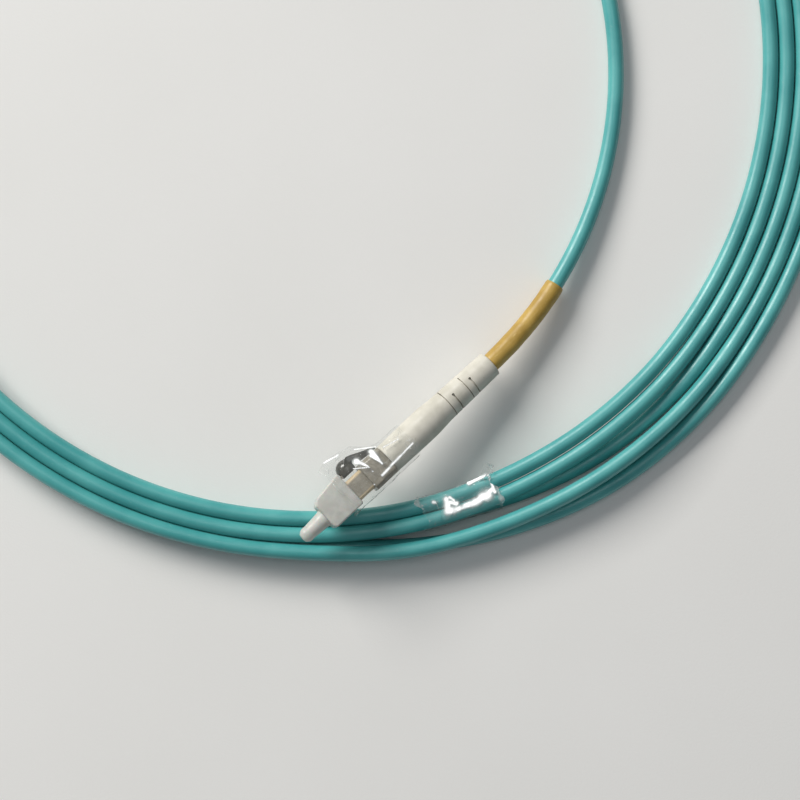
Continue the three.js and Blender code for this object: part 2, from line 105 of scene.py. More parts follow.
# The boot's flex slots: x, from and to in degrees round the boot, width, and the radius of the end's hole.
BOOT_SLOTS = [
    (-20.9, -90, 86, 0.2, 0),
    (-22.6, -180, 10, 0.3, 0.26),
    (-25.5, -128, 52, 0.2, 0),
    (-27, -178, 12, 0.3, 0.26),
]

# The clear film.
FILM = 0.04  # its thickness
PLUG_FILM_BACK = -11.0
PLUG_FILM_FRONT = 5.6
FILM_GAP = 0.16  # between the strands and a tie


def unit(vector):
    vector = np.asarray(vector, float)
    return vector / np.linalg.norm(vector)


# --- Meshes ---


def mesh_object(name, vertices, faces, skin=None):
    """A smooth mesh object in millimetres. Skin is the place that the surface patterns are read at."""
    data = bpy.data.meshes.new(name)
    data.from_pydata([tuple(v) for v in np.asarray(vertices, float)], [], faces)
    mesh = bmesh.new()
    mesh.from_mesh(data)
    bmesh.ops.recalc_face_normals(mesh, faces=mesh.faces)
    mesh.to_mesh(data)
    mesh.free()
    data.update()
    if skin is not None:
        add_skin(data, skin)
    piece = bpy.data.objects.new(name, data)
    bpy.context.scene.collection.objects.link(piece)
    return piece


def add_skin(data, skin):
    attribute = data.attributes.get("Skin") or data.attributes.new("Skin", "FLOAT_VECTOR", "POINT")
    attribute.data.foreach_set("vector", np.asarray(skin, np.float32).ravel())


def add_value(data, name, values):
    attribute = data.attributes.new(name, "FLOAT", "POINT")
    attribute.data.foreach_set("value", np.asarray(values, np.float32))


def skin_of(data):
    out = np.zeros(len(data.vertices) * 3, np.float32)
    data.attributes["Skin"].data.foreach_get("vector", out)
    return out.reshape(-1, 3)


def coordinates(data):
    out = np.zeros(len(data.vertices) * 3, np.float32)
    data.vertices.foreach_get("co", out)
    return out.reshape(-1, 3)


def move_to(data, points):
    data.vertices.foreach_set("co", points.astype(np.float32).ravel())


def applied(piece):
    """The piece with its modifiers worked into its mesh."""
    bpy.context.view_layer.update()
    depsgraph = bpy.context.evaluated_depsgraph_get()
    data = bpy.data.meshes.new_from_object(piece.evaluated_get(depsgraph), depsgraph=depsgraph)
    piece.modifiers.clear()
    piece.data = data
    return piece


def shaded(piece, smooth):
    """Smooth shading, with the edges that turn by more than smooth degrees left sharp."""
    piece.data.shade_smooth()
    attributes = piece.data.attributes
    sharp = attributes.get("sharp_edge") or attributes.new("sharp_edge", "BOOLEAN", "EDGE")
    mesh = bmesh.new()
    mesh.from_mesh(piece.data)
    limit = math.radians(smooth)
    flags = [len(edge.link_faces) == 2 and edge.calc_face_angle(0) > limit for edge in mesh.edges]
    mesh.free()
    sharp.data.foreach_set("value", flags)


def combined(operation, piece, *tools):
    for tool in tools:
        change = piece.modifiers.new("change", "BOOLEAN")
        change.operation = operation
        change.solver = "EXACT"
        change.object = tool
        applied(piece)
        bpy.data.objects.remove(tool)
    return piece


def rounded(piece, width, segments=3):
    """The piece with its sharp edges rounded."""
    bevel = piece.modifiers.new("round", "BEVEL")
    bevel.width = width
    bevel.segments = segments
    bevel.limit_method = "ANGLE"
    bevel.angle_limit = math.radians(28)
    bevel.use_clamp_overlap = True
    return applied(piece)


def between(name, vertices, count):
    """A closed piece between two flat outlines of count vertices each."""
    faces = [list(range(count)), list(range(count, 2 * count))[::-1]]
    faces += [[k, (k + 1) % count, count + (k + 1) % count, count + k] for k in range(count)]
    return mesh_object(name, vertices, faces)


def prism(name, outline, width):
    """A flat piece from its [x, z] outline, width wide across y."""
    vertices = [(x, y, z) for y in (-width / 2, width / 2) for x, z in outline]
    return between(name, vertices, len(outline))


def block(name, outline, back, front):
    """A bar along x from its [y, z] outline."""
    vertices = [(x, y, z) for x in (back, front) for y, z in outline]
    return between(name, vertices, len(outline))


def rectangle(half_y, low_z, high_z):
    return [(half_y, low_z), (half_y, high_z), (-half_y, high_z), (-half_y, low_z)]


def lathe(name, profile, sides=48):
    """A turned piece round x from a closed list of (x, radius). A radius of 0 is a point on the axis."""
    vertices, rings = [], []
    for x, radius in profile:
        if radius <= 0:
            rings.append([len(vertices)] * sides)
            vertices.append((x, 0, 0))
            continue
        rings.append(list(range(len(vertices), len(vertices) + sides)))
        for k in range(sides):
            angle = 2 * math.pi * k / sides
            vertices.append((x, radius * math.cos(angle), radius * math.sin(angle)))
    faces = []
    for here, there in zip(rings, rings[1:] + rings[:1]):
        for k in range(sides):
            face = [here[k], here[(k + 1) % sides], there[(k + 1) % sides], there[k]]
            face = list(dict.fromkeys(face))
            if len(face) > 2:
                faces.append(face)
    return mesh_object(name, vertices, faces)


def ball(name, centre, radii):
    """A softly squared ball."""
    profile = [(-math.cos(math.pi * k / 24), math.sin(math.pi * k / 24)) for k in range(25)]
    profile[0], profile[-1] = (-1, 0), (1, 0)
    made = lathe(name, profile)
    points = coordinates(made.data)
    move_to(made.data, np.sign(points) * np.abs(points) ** 0.92 * np.array(radii) + np.array(centre))
    return made


def smooth_profile(points, step=0.35):
    """Points along a rounded curve through a list of (x, radius)."""
    points = np.asarray(points, float)
    slope = np.gradient(points[:, 1], points[:, 0])
    out = []
    for k in range(len(points) - 1):
        (x0, y0), (x1, y1) = points[k], points[k + 1]
        count = max(1, int(math.ceil((x1 - x0) / step)))
        for i in range(count):
            t = i / count
            width = x1 - x0
            y = (
                y0 * (1 + 2 * t) * (1 - t) ** 2
                + slope[k] * width * t * (1 - t) ** 2
                + y1 * t * t * (3 - 2 * t)
                + slope[k + 1] * width * t * t * (t - 1)
            )
            out.append((x0 + width * t, y))
    return out + [tuple(points[-1])]


# --- The cable's route, from the CAD ---

RING_REACH = 1.3  # vertices of a buffered fibre that are closer than this belong to one ring


def ring_centres(node):
    """The centres of a tube node's rings, in order along it, in millimetres."""
    data = frame["nodes"][node].data
    points, owner = np.unique(np.round(coordinates(data) / MM, 3), axis=0, return_inverse=True)
    owner = owner.reshape(-1)
    ring = -np.ones(len(points), int)
    centres = []
    for k, point in enumerate(points):
        if ring[k] < 0:
            near = np.linalg.norm(points - point, axis=1) < RING_REACH
            ring[near] = len(centres)
            centres.append(points[near].mean(0))
    links = {k: set() for k in range(len(centres))}
    for edge in data.edges:
        a, b = (int(ring[owner[v]]) for v in edge.vertices)
        if a != b:
            links[a].add(b)
            links[b].add(a)
    here = min(k for k in links if len(links[k]) == 1)
    order = [here]
    while True:
        ahead = [k for k in links[order[-1]] if k not in order]
        if not ahead:
            return [centres[k] for k in order]
        order.append(ahead[0])


def joined(path, more):
    """One path after another, turned round if its far end is the nearer one."""
    if np.linalg.norm(more[-1] - path[-1]) < np.linalg.norm(more[0] - path[-1]):
        more = more[::-1]
    return path + [p for p in more if np.linalg.norm(p - path[-1]) > 0.5]


def plug_matrix(end):
    along = unit(JOINTS[f"cap_pull_{end}"]["axis"])
    latch = unit(np.cross(along, JOINTS[f"trigger_press_{end}"]["axis"]))
    side = np.cross(latch, along)
    hinge = np.array(JOINTS[f"trigger_press_{end}"]["pos_m"])
    origin = hinge - MM * (TRIGGER_HINGE[0] * along + TRIGGER_HINGE[1] * latch)
    made = Matrix.Identity(4)
    for row in range(3):
        made[row] = (along[row], side[row], latch[row], origin[row])
    return made


PLUGS = {end: plug_matrix(end) for end in "ab"}


def lead_stations(end):
    """A lead's stations from the plug, with the straight run inside the boot filled in."""
    rings = ring_centres(f"lead_{end}_buffered_fibre")
    origin = np.array(PLUGS[end].translation) / MM
    if np.linalg.norm(rings[-1] - origin) < np.linalg.norm(rings[0] - origin):
        rings = rings[::-1]
    straight = [rings[0] + (rings[1] - rings[0]) * share for share in (0, 0.3, 0.6, 0.85, 0.95)]
    return straight + rings[1:]


class Route:
    """A smooth line through stations, by its length in millimetres."""

    def __init__(self, stations):
        self.stations = np.array(stations)
        gaps = np.linalg.norm(np.diff(self.stations, axis=0), axis=1)
        self.lengths = np.concatenate([[0], np.cumsum(gaps)])
        self.slopes = np.gradient(self.stations, self.lengths, axis=0)

    def at(self, lengths):
        lengths = np.asarray(lengths, float)
        k = np.clip(np.searchsorted(self.lengths, lengths, "right") - 1, 0, len(self.lengths) - 2)
        gap = (self.lengths[k + 1] - self.lengths[k])[:, None]
        t = (lengths - self.lengths[k])[:, None] / gap
        return (
            self.stations[k] * (1 + 2 * t) * (1 - t) ** 2
            + self.slopes[k] * gap * t * (1 - t) ** 2
            + self.stations[k + 1] * t * t * (3 - 2 * t)
            + self.slopes[k + 1] * gap * t * t * (t - 1)
        )

    def length_near(self, point):
        return self.lengths[np.argmin(np.linalg.norm(self.stations - point, axis=1))]


LEADS = {end: lead_stations(end) for end in "ab"}
FLEXES = {end: ring_centres(f"flex_{end}_buffered_fibre") for end in "ab"}
whole = joined(joined(LEADS["a"], FLEXES["a"]), ring_centres("coil_buffered_fibre"))
whole = joined(joined(whole, FLEXES["b"]), LEADS["b"][::-1])
ROUTE = Route(whole)
ROUTE_LENGTH = ROUTE.lengths[-1]


def tube(name, lengths, radius, bore, sides):
    """A tube along the route. Radius is one number, or one for each length."""
    centres = ROUTE.at(lengths)
    tangents = np.gradient(centres, axis=0)
    tangents /= np.linalg.norm(tangents, axis=1)[:, None]
    across = np.cross(tangents, [0, 0, 1.0])
    across /= np.linalg.norm(across, axis=1)[:, None]
    above = np.cross(across, tangents)
    angles = 2 * np.pi * np.arange(sides) / sides
    turn = np.cos(angles)[None, :, None] * across[:, None] + np.sin(angles)[None, :, None] * above[:, None]
    rows = len(lengths)
    radius = np.broadcast_to(np.asarray(radius, float), (rows,))

    def shell(size):
        points = (centres[:, None] + size[:, None, None] * turn).reshape(-1, 3)
        skin = np.zeros((rows, sides, 3))
        skin[..., 0] = size[:, None] * np.cos(angles)
        skin[..., 1] = size[:, None] * np.sin(angles)
        skin[..., 2] = np.asarray(lengths)[:, None]
        return points, skin.reshape(-1, 3)

    def walls(first):
        k = np.arange(sides)
        ahead = (k + 1) % sides
        for row in range(rows - 1):
            here, there = first + row * sides, first + (row + 1) * sides
            yield from zip(here + k, there + k, there + ahead, here + ahead)

    points, skin = shell(radius)
    faces = [tuple(map(int, face)) for face in walls(0)]
    last = (rows - 1) * sides
    if bore > 0:
        inner, inner_skin = shell(np.full(rows, float(bore)))
        offset = rows * sides
        points, skin = np.vstack([points, inner]), np.vstack([skin, inner_skin])
        faces += [tuple(map(int, face[::-1])) for face in walls(offset)]
        for start in (0, last):
            for k in range(sides):
                ahead = (k + 1) % sides
                faces.append((start + k, start + ahead, offset + start + ahead, offset + start + k))
    else:
        faces += [tuple(range(sides)), tuple(range(last, last + sides))]
    return mesh_object(name, points, faces, skin)


# --- Materials ---


class Finish:
    """A node material whose colour, roughness and relief come from patterns on the surface."""

    def __init__(self, name, place="Skin"):
        self.material = bpy.data.materials.new(name)
        self.material.use_nodes = True
        self.tree = self.material.node_tree
        self.surface = self.tree.nodes["Principled BSDF"]
        self.height = None
        if place == "Skin":
            node = self.tree.nodes.new("ShaderNodeAttribute")
            node.attribute_name = "Skin"
            self.place = node.outputs["Vector"]
        else:
            node = self.tree.nodes.new("ShaderNodeTexCoord")
            self.place = self.mapped(node.outputs["Object"], (1 / MM,) * 3)

    def link(self, source, target):
        if isinstance(source, bpy.types.NodeSocket):
            self.tree.links.new(source, target)
        else:
            target.default_value = source

    def mapped(self, source, scale):
        node = self.tree.nodes.new("ShaderNodeMapping")
        self.tree.links.new(source, node.inputs["Vector"])
        node.inputs["Scale"].default_value = scale
        return node.outputs["Vector"]

    def noise(self, per_mm, detail=3.0, stretch=(1, 1, 1), distortion=0.0):
        node = self.tree.nodes.new("ShaderNodeTexNoise")
        self.tree.links.new(self.mapped(self.place, stretch), node.inputs["Vector"])
        node.inputs["Scale"].default_value = per_mm
        node.inputs["Detail"].default_value = detail
        node.inputs["Distortion"].default_value = distortion
        return node.outputs["Fac"]

    def cells(self, per_mm, feature="F1"):
        node = self.tree.nodes.new("ShaderNodeTexVoronoi")
        node.feature = feature
        self.tree.links.new(self.place, node.inputs["Vector"])
        node.inputs["Scale"].default_value = per_mm
        return node.outputs["Distance"]

    def parts(self):
        """The x, y and z of the place."""
        node = self.tree.nodes.new("ShaderNodeSeparateXYZ")
        self.tree.links.new(self.place, node.inputs["Vector"])
        return node.outputs

    def value(self, name):
        node = self.tree.nodes.new("ShaderNodeAttribute")
        node.attribute_name = name
        return node.outputs["Fac"]

    def span(self, source, low, high, to_low=0.0, to_high=1.0):
        """The source between low and high, stretched over to_low and to_high."""
        node = self.tree.nodes.new("ShaderNodeMapRange")
        node.interpolation_type = "SMOOTHSTEP"
        self.tree.links.new(source, node.inputs["Value"])
        for key, number in zip(("From Min", "From Max", "To Min", "To Max"), (low, high, to_low, to_high)):
            node.inputs[key].default_value = number
        return node.outputs["Result"]

    def maths(self, operation, a, b):
        node = self.tree.nodes.new("ShaderNodeMath")
        node.operation = operation
        self.link(a, node.inputs[0])
        self.link(b, node.inputs[1])
        return node.outputs["Value"]

    def mixed(self, share, a, b):
        node = self.tree.nodes.new("ShaderNodeMix")
        node.data_type = "RGBA"
        self.link(share, node.inputs["Factor"])
        colours = [socket for socket in node.inputs if socket.type == "RGBA"]
        for colour, socket in zip((a, b), colours):
            self.link(colour, socket)
        return next(socket for socket in node.outputs if socket.type == "RGBA")

    def relief(self, source, depth_mm):
        node = self.tree.nodes.new("ShaderNodeBump")
        node.inputs["Strength"].default_value = 1.0
        node.inputs["Distance"].default_value = depth_mm * MM
        self.tree.links.new(source, node.inputs["Height"])
        if self.height is not None:
            self.tree.links.new(self.height, node.inputs["Normal"])
        self.height = node.outputs["Normal"]
        self.tree.links.new(self.height, self.surface.inputs["Normal"])

    def set(self, **values):
        for key, value in values.items():
            self.link(value, self.surface.inputs[key.replace("_", " ")])
        return self.material


def rgb(red, green, blue):
    """A colour from its display values, 0 to 255."""
    def linear(v):
        v /= 255
        return v / 12.92 if v <= 0.04045 else ((v + 0.055) / 1.055) ** 2.4
    return (linear(red), linear(green), linear(blue), 1.0)


def jacket_finish():
    """Aqua cable jacket: satin, with faint drawing lines along it and a little dust."""
    f = Finish("cable_jacket_aqua")
    cloud = f.span(f.noise(0.09, 4), 0.35, 0.65)
    tone = f.mixed(cloud, rgb(66, 160, 160), rgb(84, 176, 174))
    dust = f.span(f.noise(1.4, 5), 0.62, 0.8, 0, 0.22)
    lines = f.noise(2.2, 2, stretch=(1, 1, 0.03))
    f.relief(lines, 0.012)
    f.relief(f.noise(1.1, 3), 0.02)
    f.relief(f.noise(7, 2), 0.004)
    return f.set(
        Base_Color=f.mixed(dust, tone, rgb(170, 196, 190)),
        Roughness=f.span(f.noise(0.5, 4), 0.3, 0.7, 0.34, 0.46),
        Specular_IOR_Level=0.8,
        IOR=1.5,
    )


def yarn_finish():
    f = Finish("aramid_yarn_strands")
    strands = f.noise(7, 3, stretch=(1, 1, 0.05))
    f.relief(strands, 0.05)
    return f.set(Base_Color=f.mixed(strands, rgb(186, 150, 52), rgb(232, 208, 120)), Roughness=0.7)


def buffer_finish():
    f = Finish("fibre_buffer_white")
    f.relief(f.noise(3, 2), 0.006)
    return f.set(Base_Color=f.mixed(f.noise(0.4, 3), rgb(228, 232, 230), rgb(246, 246, 242)), Roughness=0.45)


def marker_finish():
    """Yellow marker tube, with fine creases and slightly rubbed."""
    f = Finish("marker_tube_yellow")
    cloud = f.span(f.noise(0.25, 4), 0.35, 0.68)
    tone = f.mixed(cloud, rgb(176, 142, 62), rgb(196, 162, 80))
    rub = f.span(f.noise(1.3, 5, stretch=(1, 1, 0.35)), 0.6, 0.78, 0, 0.3)
    f.relief(f.noise(0.9, 3, stretch=(1, 1, 0.5)), 0.05)
    f.relief(f.noise(5, 3), 0.008)
    return f.set(
        Base_Color=f.mixed(rub, tone, rgb(240, 214, 150)),
        Roughness=f.span(f.noise(0.8, 3), 0.3, 0.7, 0.34, 0.5),
    )


def boot_finish():
    """Warm white rubber: matt, faintly mottled, with dust caught in it."""
    f = Finish("boot_rubber_white")
    cloud = f.span(f.noise(0.3, 4), 0.35, 0.65)
    tone = f.mixed(cloud, rgb(200, 196, 183), rgb(216, 212, 200))
    dust = f.span(f.noise(1.8, 6), 0.63, 0.82, 0, 0.35)
    f.relief(f.noise(9, 3), 0.012)
    f.relief(f.noise(0.7, 3), 0.03)
    return f.set(
        Base_Color=f.mixed(dust, tone, rgb(164, 156, 140)),
        Roughness=f.span(f.noise(1.1, 4), 0.3, 0.7, 0.36, 0.52),
    )


def plug_finish(name, dark, light, roughness, corner=None):
    """Glossy moulded plastic, with flow marks and fine scratches.

    Corner is the colour of a painted highlight along the nose's cut corners.
    """
    f = Finish(name)
    flow = f.span(f.noise(0.45, 4, distortion=1.2), 0.35, 0.66)
    tone = f.mixed(flow, dark, light)
    if corner:
        # Painted highlight: the nose's cut corners are tinted light tan, where light catches their edges.
        x, y, z = f.parts()
        y = f.maths("ABSOLUTE", y, 0)
        z = f.maths("ABSOLUTE", z, 0)
        edge = 2 * NOSE_HALF - NOSE_CORNER
        painted_edge_highlight = f.span(f.maths("ADD", y, z), edge - 0.38, edge - 0.08)
        painted_edge_highlight = f.maths("MULTIPLY", painted_edge_highlight, f.span(z, NOSE_HALF + 0.02, NOSE_HALF + 0.08, 1, 0))
        tone = f.mixed(f.maths("MULTIPLY", painted_edge_highlight, f.span(x, 0.0, 0.2)), tone, corner)
    scratch = f.span(f.noise(2.5, 2, stretch=(0.1, 1, 4)), 0.6, 0.75)
    f.relief(f.noise(0.6, 2), 0.03)
    f.relief(f.noise(11, 3), 0.006)
    f.relief(scratch, 0.006)
    return f.set(
        Base_Color=tone,
        Roughness=f.span(f.noise(1.5, 4), 0.3, 0.7, roughness, roughness + 0.16),
        IOR=1.52,
    )


def cap_finish():
    """Frosted dust cap: lets some light through, cloudy where it is thick."""
    f = Finish("dust_cap_frosted")
    cloud = f.noise(0.5, 4)
    f.relief(f.noise(1.2, 3), 0.04)
    f.relief(f.noise(8, 2), 0.008)
    return f.set(
        Base_Color=f.mixed(cloud, rgb(206, 206, 199), rgb(222, 222, 215)),
        Roughness=f.span(f.noise(0.9, 3), 0.3, 0.7, 0.28, 0.45),
        Alpha=f.span(cloud, 0.3, 0.7, 0.72, 0.86),
        Subsurface_Weight=0.2,
        Subsurface_Scale=0.8 * MM,
    )


def film_finish():
    """Clear packing film: nearly invisible where it lies flat, white along its creases, and white and faintly
    glowing along painted highlights.
    """
    f = Finish("clear_film_creases_and_painted_highlights")
    # Random fine creases whiten the film a little, as creased film does.
    creases = f.span(f.cells(0.9, "DISTANCE_TO_EDGE"), 0.0, 0.05, 1, 0)
    patchy = f.span(f.noise(0.5, 3), 0.5, 0.68, 0, 0.5)
    fine = f.maths("MULTIPLY", creases, patchy)
    # The attribute holds painted highlights: white streaks where light glints on the film, and a whiter band
    # at the film's ends.
    haze_and_highlight = f.maths("MAXIMUM", f.value("HazeAndPaintedHighlight"), fine)
    f.relief(f.noise(0.8, 3), 0.12)
    f.relief(f.cells(1.2), 0.05)
    return f.set(
        Base_Color=f.mixed(haze_and_highlight, rgb(205, 212, 210), rgb(255, 255, 255)),
        Roughness=f.span(haze_and_highlight, 0, 1, 0.06, 0.3),
        Alpha=f.span(haze_and_highlight, 0, 1, 0.035, 0.95),
        # Painted highlight: where the mask is high the film also glows white, though it is no lamp.
        Emission_Color=(1, 1, 1, 1),
        Emission_Strength=f.span(haze_and_highlight, 0.25, 1, 0, 0.35),
        IOR=1.5,
    )


def metal_finish(name, dark, light, roughness):
    f = Finish(name, "Object")
    turned = f.noise(6, 2, stretch=(3, 0.2, 0.2))
    f.relief(turned, 0.006)
    return f.set(
        Base_Color=f.mixed(f.noise(0.8, 4), dark, light),
        Metallic=1.0,
        Roughness=f.span(f.noise(2, 3), 0.3, 0.7, roughness, roughness + 0.15),
    )


def ceramic_finish():
    f = Finish("ferrule_zirconia")
    f.relief(f.noise(9, 2), 0.002)
    return f.set(
        Base_Color=f.mixed(f.noise(0.8, 3), rgb(236, 233, 222), rgb(248, 246, 238)),
        Roughness=f.span(f.noise(2, 3), 0.3, 0.7, 0.12, 0.2),
    )


def glass_finish():
    f = Finish("bare_glass_fibre", "Object")
    return f.set(
        Base_Color=f.mixed(f.noise(3, 2), rgb(205, 226, 232), rgb(235, 245, 248)),
        Roughness=0.08,
    )


FINISHES = {
    "cable_jacket": jacket_finish(),
    "aramid_yarn": yarn_finish(),
    "fibre_buffer": buffer_finish(),
    "marker_tube": marker_finish(),
    "boot_rubber": boot_finish(),
    # The corner colour is a painted highlight on the nose's cut corners.
    "plug_plastic": plug_finish(
        "plug_plastic_grey", rgb(138, 132, 118), rgb(158, 151, 136), 0.2, corner=rgb(205, 186, 152)
    ),
    # The trigger is the same plastic as the plug; its darker colour is painted shade for the dark look of its
    # lever and pad.
    "trigger_plastic": plug_finish("trigger_plastic_painted_shade", rgb(56, 54, 49), rgb(82, 79, 71), 0.08),
    "cap_plastic": cap_finish(),
    "clear_film": film_finish(),
    "plated_brass": metal_finish("plated_brass_flange", rgb(176, 168, 140), rgb(212, 206, 186), 0.22),
    "spring_wire": metal_finish("spring_wire_steel", rgb(140, 142, 145), rgb(190, 192, 195), 0.25),
    "crimp_metal": metal_finish("crimp_metal_nickel", rgb(168, 166, 160), rgb(205, 203, 198), 0.3),
    "ferrule_ceramic": ceramic_finish(),
    "bare_glass_fibre": glass_finish(),
}


def dressed(piece, slot, *nodes):
    """The piece with its finish, standing for CAD nodes."""
    piece.data.materials.clear()
    piece.data.materials.append(FINISHES[slot])
    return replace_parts(piece, *nodes) if nodes else piece


# --- The cable's pieces ---

TUBE_SMOOTH = 60  # degrees: a tube's ends stay sharp


def cable(step):
    """The three layers of the cable: the coil, and a length at each end that bends as its lead lifts."""
    flex = {end: sorted(ROUTE.length_near(FLEXES[end][k]) for k in (0, -1)) for end in "ab"}
    for layer, (slot, radius, bore, sides, ends_at) in LAYERS.items():
        inside = BUFFER_END - ends_at
        spans = {
            "coil": (flex["a"][1], flex["b"][0]),
            "a": (inside, flex["a"][1]),
            "b": (flex["b"][0], ROUTE_LENGTH - inside),
        }
        for part, (start, stop) in spans.items():
            count = max(8, int((stop - start) / step))
            lengths = np.linspace(start, stop, count)
            made = tube(f"cable_{layer}_{part}", lengths, radius, bore, sides)
            shaded(made, TUBE_SMOOTH)
            made.data.transform(Matrix.Scale(MM, 4))
            if part == "coil":
                dressed(made, slot, f"coil_{layer}")
                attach(made, "coil")
                continue
            dressed(made, slot, f"flex_{part}_{layer}", f"lead_{part}_{layer}")
            coil_side, lead_side = flex[part][::-1] if part == "a" else flex[part]
            points = ROUTE.at([coil_side, lead_side]) * MM
            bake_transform(made, "coil", f"lead_{part}", start=points[0], end=points[1])


def marker_sleeve(end):
    """The tube on the cable behind the boot, a little wavy, with rolled ends."""
    stations = LEADS[end]
    start = ROUTE.length_near(stations[5])
    stop = ROUTE.length_near(stations[7])
    start, stop = sorted((start, stop))
    lengths = np.arange(start, stop, 0.3)
    lengths[-1] = stop
    from_end = np.minimum(lengths - start, stop - lengths)
    radius = MARKER_RADIUS - 0.1 * np.clip(1 - from_end / 0.35, 0, 1) ** 2
    radius = radius + np.array([0.035 * noise.noise(Vector((v * 0.35, 0, 5))) for v in lengths])
    made = tube(f"marker_sleeve_{end}_tube", lengths, radius, MARKER_BORE_RADIUS, 40)
    skin = skin_of(made.data)
    outer = np.hypot(skin[:, 0], skin[:, 1]) > 1.7
    push = np.array([0.05 * noise.noise(Vector(s) * 0.5) for s in skin])
    made.data.update()
    normals = np.array([v.normal for v in made.data.vertices])
    move_to(made.data, coordinates(made.data) + normals * (push * outer)[:, None])
    shaded(made, TUBE_SMOOTH)
    made.data.transform(Matrix.Scale(MM, 4))
    dressed(made, "marker_tube", f"marker_sleeve_{end}")
    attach(made, f"lead_{end}")


# --- The plug's pieces ---


def placed(piece, end, slot, body, *nodes, smooth=32):
    """A piece from the plug's frame to its place on the cord. It rides on a body, unless that is None."""
    add_skin(piece.data, coordinates(piece.data))
    piece.data.transform(PLUGS[end] @ Matrix.Scale(MM, 4))
    shaded(piece, smooth)
    dressed(piece, slot, *nodes)
    if body:
        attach(piece, body)
    return piece


def slot_cutter(x, start, stop, width, eye):
    """Cutters for one flex slot, start to stop degrees round the boot, and for the hole at its end."""
    count = 24
    vertices = []
    for k in range(count + 1):
        angle = math.radians(start + (stop - start) * k / count)
        for radius in (2.2, 4.0):
            for side in (-width / 2, width / 2):
                vertices.append((x + side, radius * math.cos(angle), radius * math.sin(angle)))
    faces = [[0, 1, 3, 2], [4 * count + i for i in (0, 2, 3, 1)]]
    for k in range(count):
        a, b = 4 * k, 4 * k + 4
        for i, j in ((0, 1), (1, 3), (3, 2), (2, 0)):
            faces.append([a + i, a + j, b + j, b + i])
    cutter = mesh_object("slot", vertices, faces)
    if eye:
        hole = lathe("eye", [(2.1, 0), (2.1, eye), (4.0, eye), (4.0, 0)], 20)
        hole.data.transform(Matrix.Translation((x, 0, 0)) @ Matrix.Rotation(math.radians(stop), 4, "X")
                            @ Matrix.Rotation(math.radians(90), 4, "Z"))
        return [cutter, hole]
    return [cutter]


def boot(end):
    outside = smooth_profile([
        (BOOT_TAIL + 0.12, 2.62), (-28, 2.7), (-24, 2.78), (-21, 2.84), (-19.4, 2.87), (-18, 2.98),
        (-16.2, 3.11), (-14, 3.14), (-11, 3.11), (-8, 3.06), (BOOT_FRONT - 0.15, 3.03),
    ])
    inside = [
        (BOOT_FRONT, 2.92), (BOOT_FRONT, BOOT_SOCKET_RADIUS), (-17.5, BOOT_SOCKET_RADIUS),
        (-18.3, BOOT_BORE_RADIUS), (BOOT_TAIL, BOOT_BORE_RADIUS), (BOOT_TAIL, 2.46),
    ]
    made = lathe(f"boot_{end}_rubber", outside + inside, 96)
    cutters = [cutter for slot in BOOT_SLOTS for cutter in slot_cutter(*slot)]
    made = combined("DIFFERENCE", made, *cutters)
    placed(made, end, "boot_rubber", f"lead_{end}", f"boot_{end}")


def chamfered(half, corner):
    """The [y, z] outline of a square bar with cut corners."""
    inner = half - corner
    return [
        (half, -inner), (half, inner), (inner, half), (-inner, half),
        (-half, inner), (-half, -inner), (-inner, -half), (inner, -half),
    ]


def rear_body(end):
    """The rear body: three grip grooves underneath, a spigot for the boot and a pocket for the nose."""
    made = block(f"rear_body_{end}_shell", chamfered(REAR_BODY_HALF, 0.7), REAR_BODY_BACK, 0)
    grips = [block("grip", rectangle(1.5, -3.2, -2.86), x - 0.14, x + 0.14) for x in (-4.3, -3.5, -2.7)]
    spigot = lathe("spigot", [(-8.2, 0), (-8.2, 2.0), (-8.05, 2.15), (-4.8, 2.15), (-4.8, 0)], 64)
    pocket = block("pocket", chamfered(NOSE_HALF + 0.05, 0.28), NOSE_BACK - 0.05, 0.5)
    bore = lathe("bore", [(-8.7, 0), (-8.7, 1.8), (-1.8, 1.8), (-1.8, 0)], 64)
    made = combined("DIFFERENCE", rounded(made, 0.16, 3), *grips)
    made = combined("UNION", made, spigot)
    made = combined("DIFFERENCE", made, pocket, bore)
    placed(made, end, "plug_plastic", f"lead_{end}", f"rear_body_{end}")


def plug_housing(end):
    """The square nose: a wide bore for the flange and its spring, a neck, and a bore round the ferrule."""
    bar = block(f"plug_nose_{end}_housing", chamfered(NOSE_HALF, NOSE_CORNER), NOSE_BACK, NOSE_FRONT)
    bore = lathe("bore", [
        (NOSE_BACK - 0.2, 0), (NOSE_BACK - 0.2, NOSE_BORE_RADIUS), (5, NOSE_BORE_RADIUS),
        (5, 0.72), (6, 0.72), (6, 1.45),
        (NOSE_FRONT - 0.25, 1.45), (NOSE_FRONT + 0.2, 1.8), (NOSE_FRONT + 0.2, 0),
    ], 64)
    made = combined("DIFFERENCE", rounded(bar, 0.1, 3), bore)
    placed(made, end, "plug_plastic", f"lead_{end}", f"plug_housing_{end}")


def latch_arm(end):
    """The latch: an arm that rises towards the rear from the nose's tip, with two catch shoulders."""
    arm = prism(f"latch_{end}_arm", [
        (9.4, 2.36), (9.4, 2.62), (9.15, 2.86), (8.8, 3.0), (4.6, 3.52), (0.8, 3.98), (0.7, 3.34),
        (4.4, 2.99), (7.7, 2.72), (8.3, 2.52), (8.6, 2.36),
    ], LATCH_WIDTH)
    shoulders = prism("shoulders", [(3.9, 3.1), (5, 2.96), (5, 3.44), (3.9, 3.58)], SHOULDER_WIDTH)
    made = combined("UNION", rounded(arm, 0.08, 3), rounded(shoulders, 0.07, 3))
    placed(made, end, "plug_plastic", f"latch_{end}", f"latch_arm_{end}")


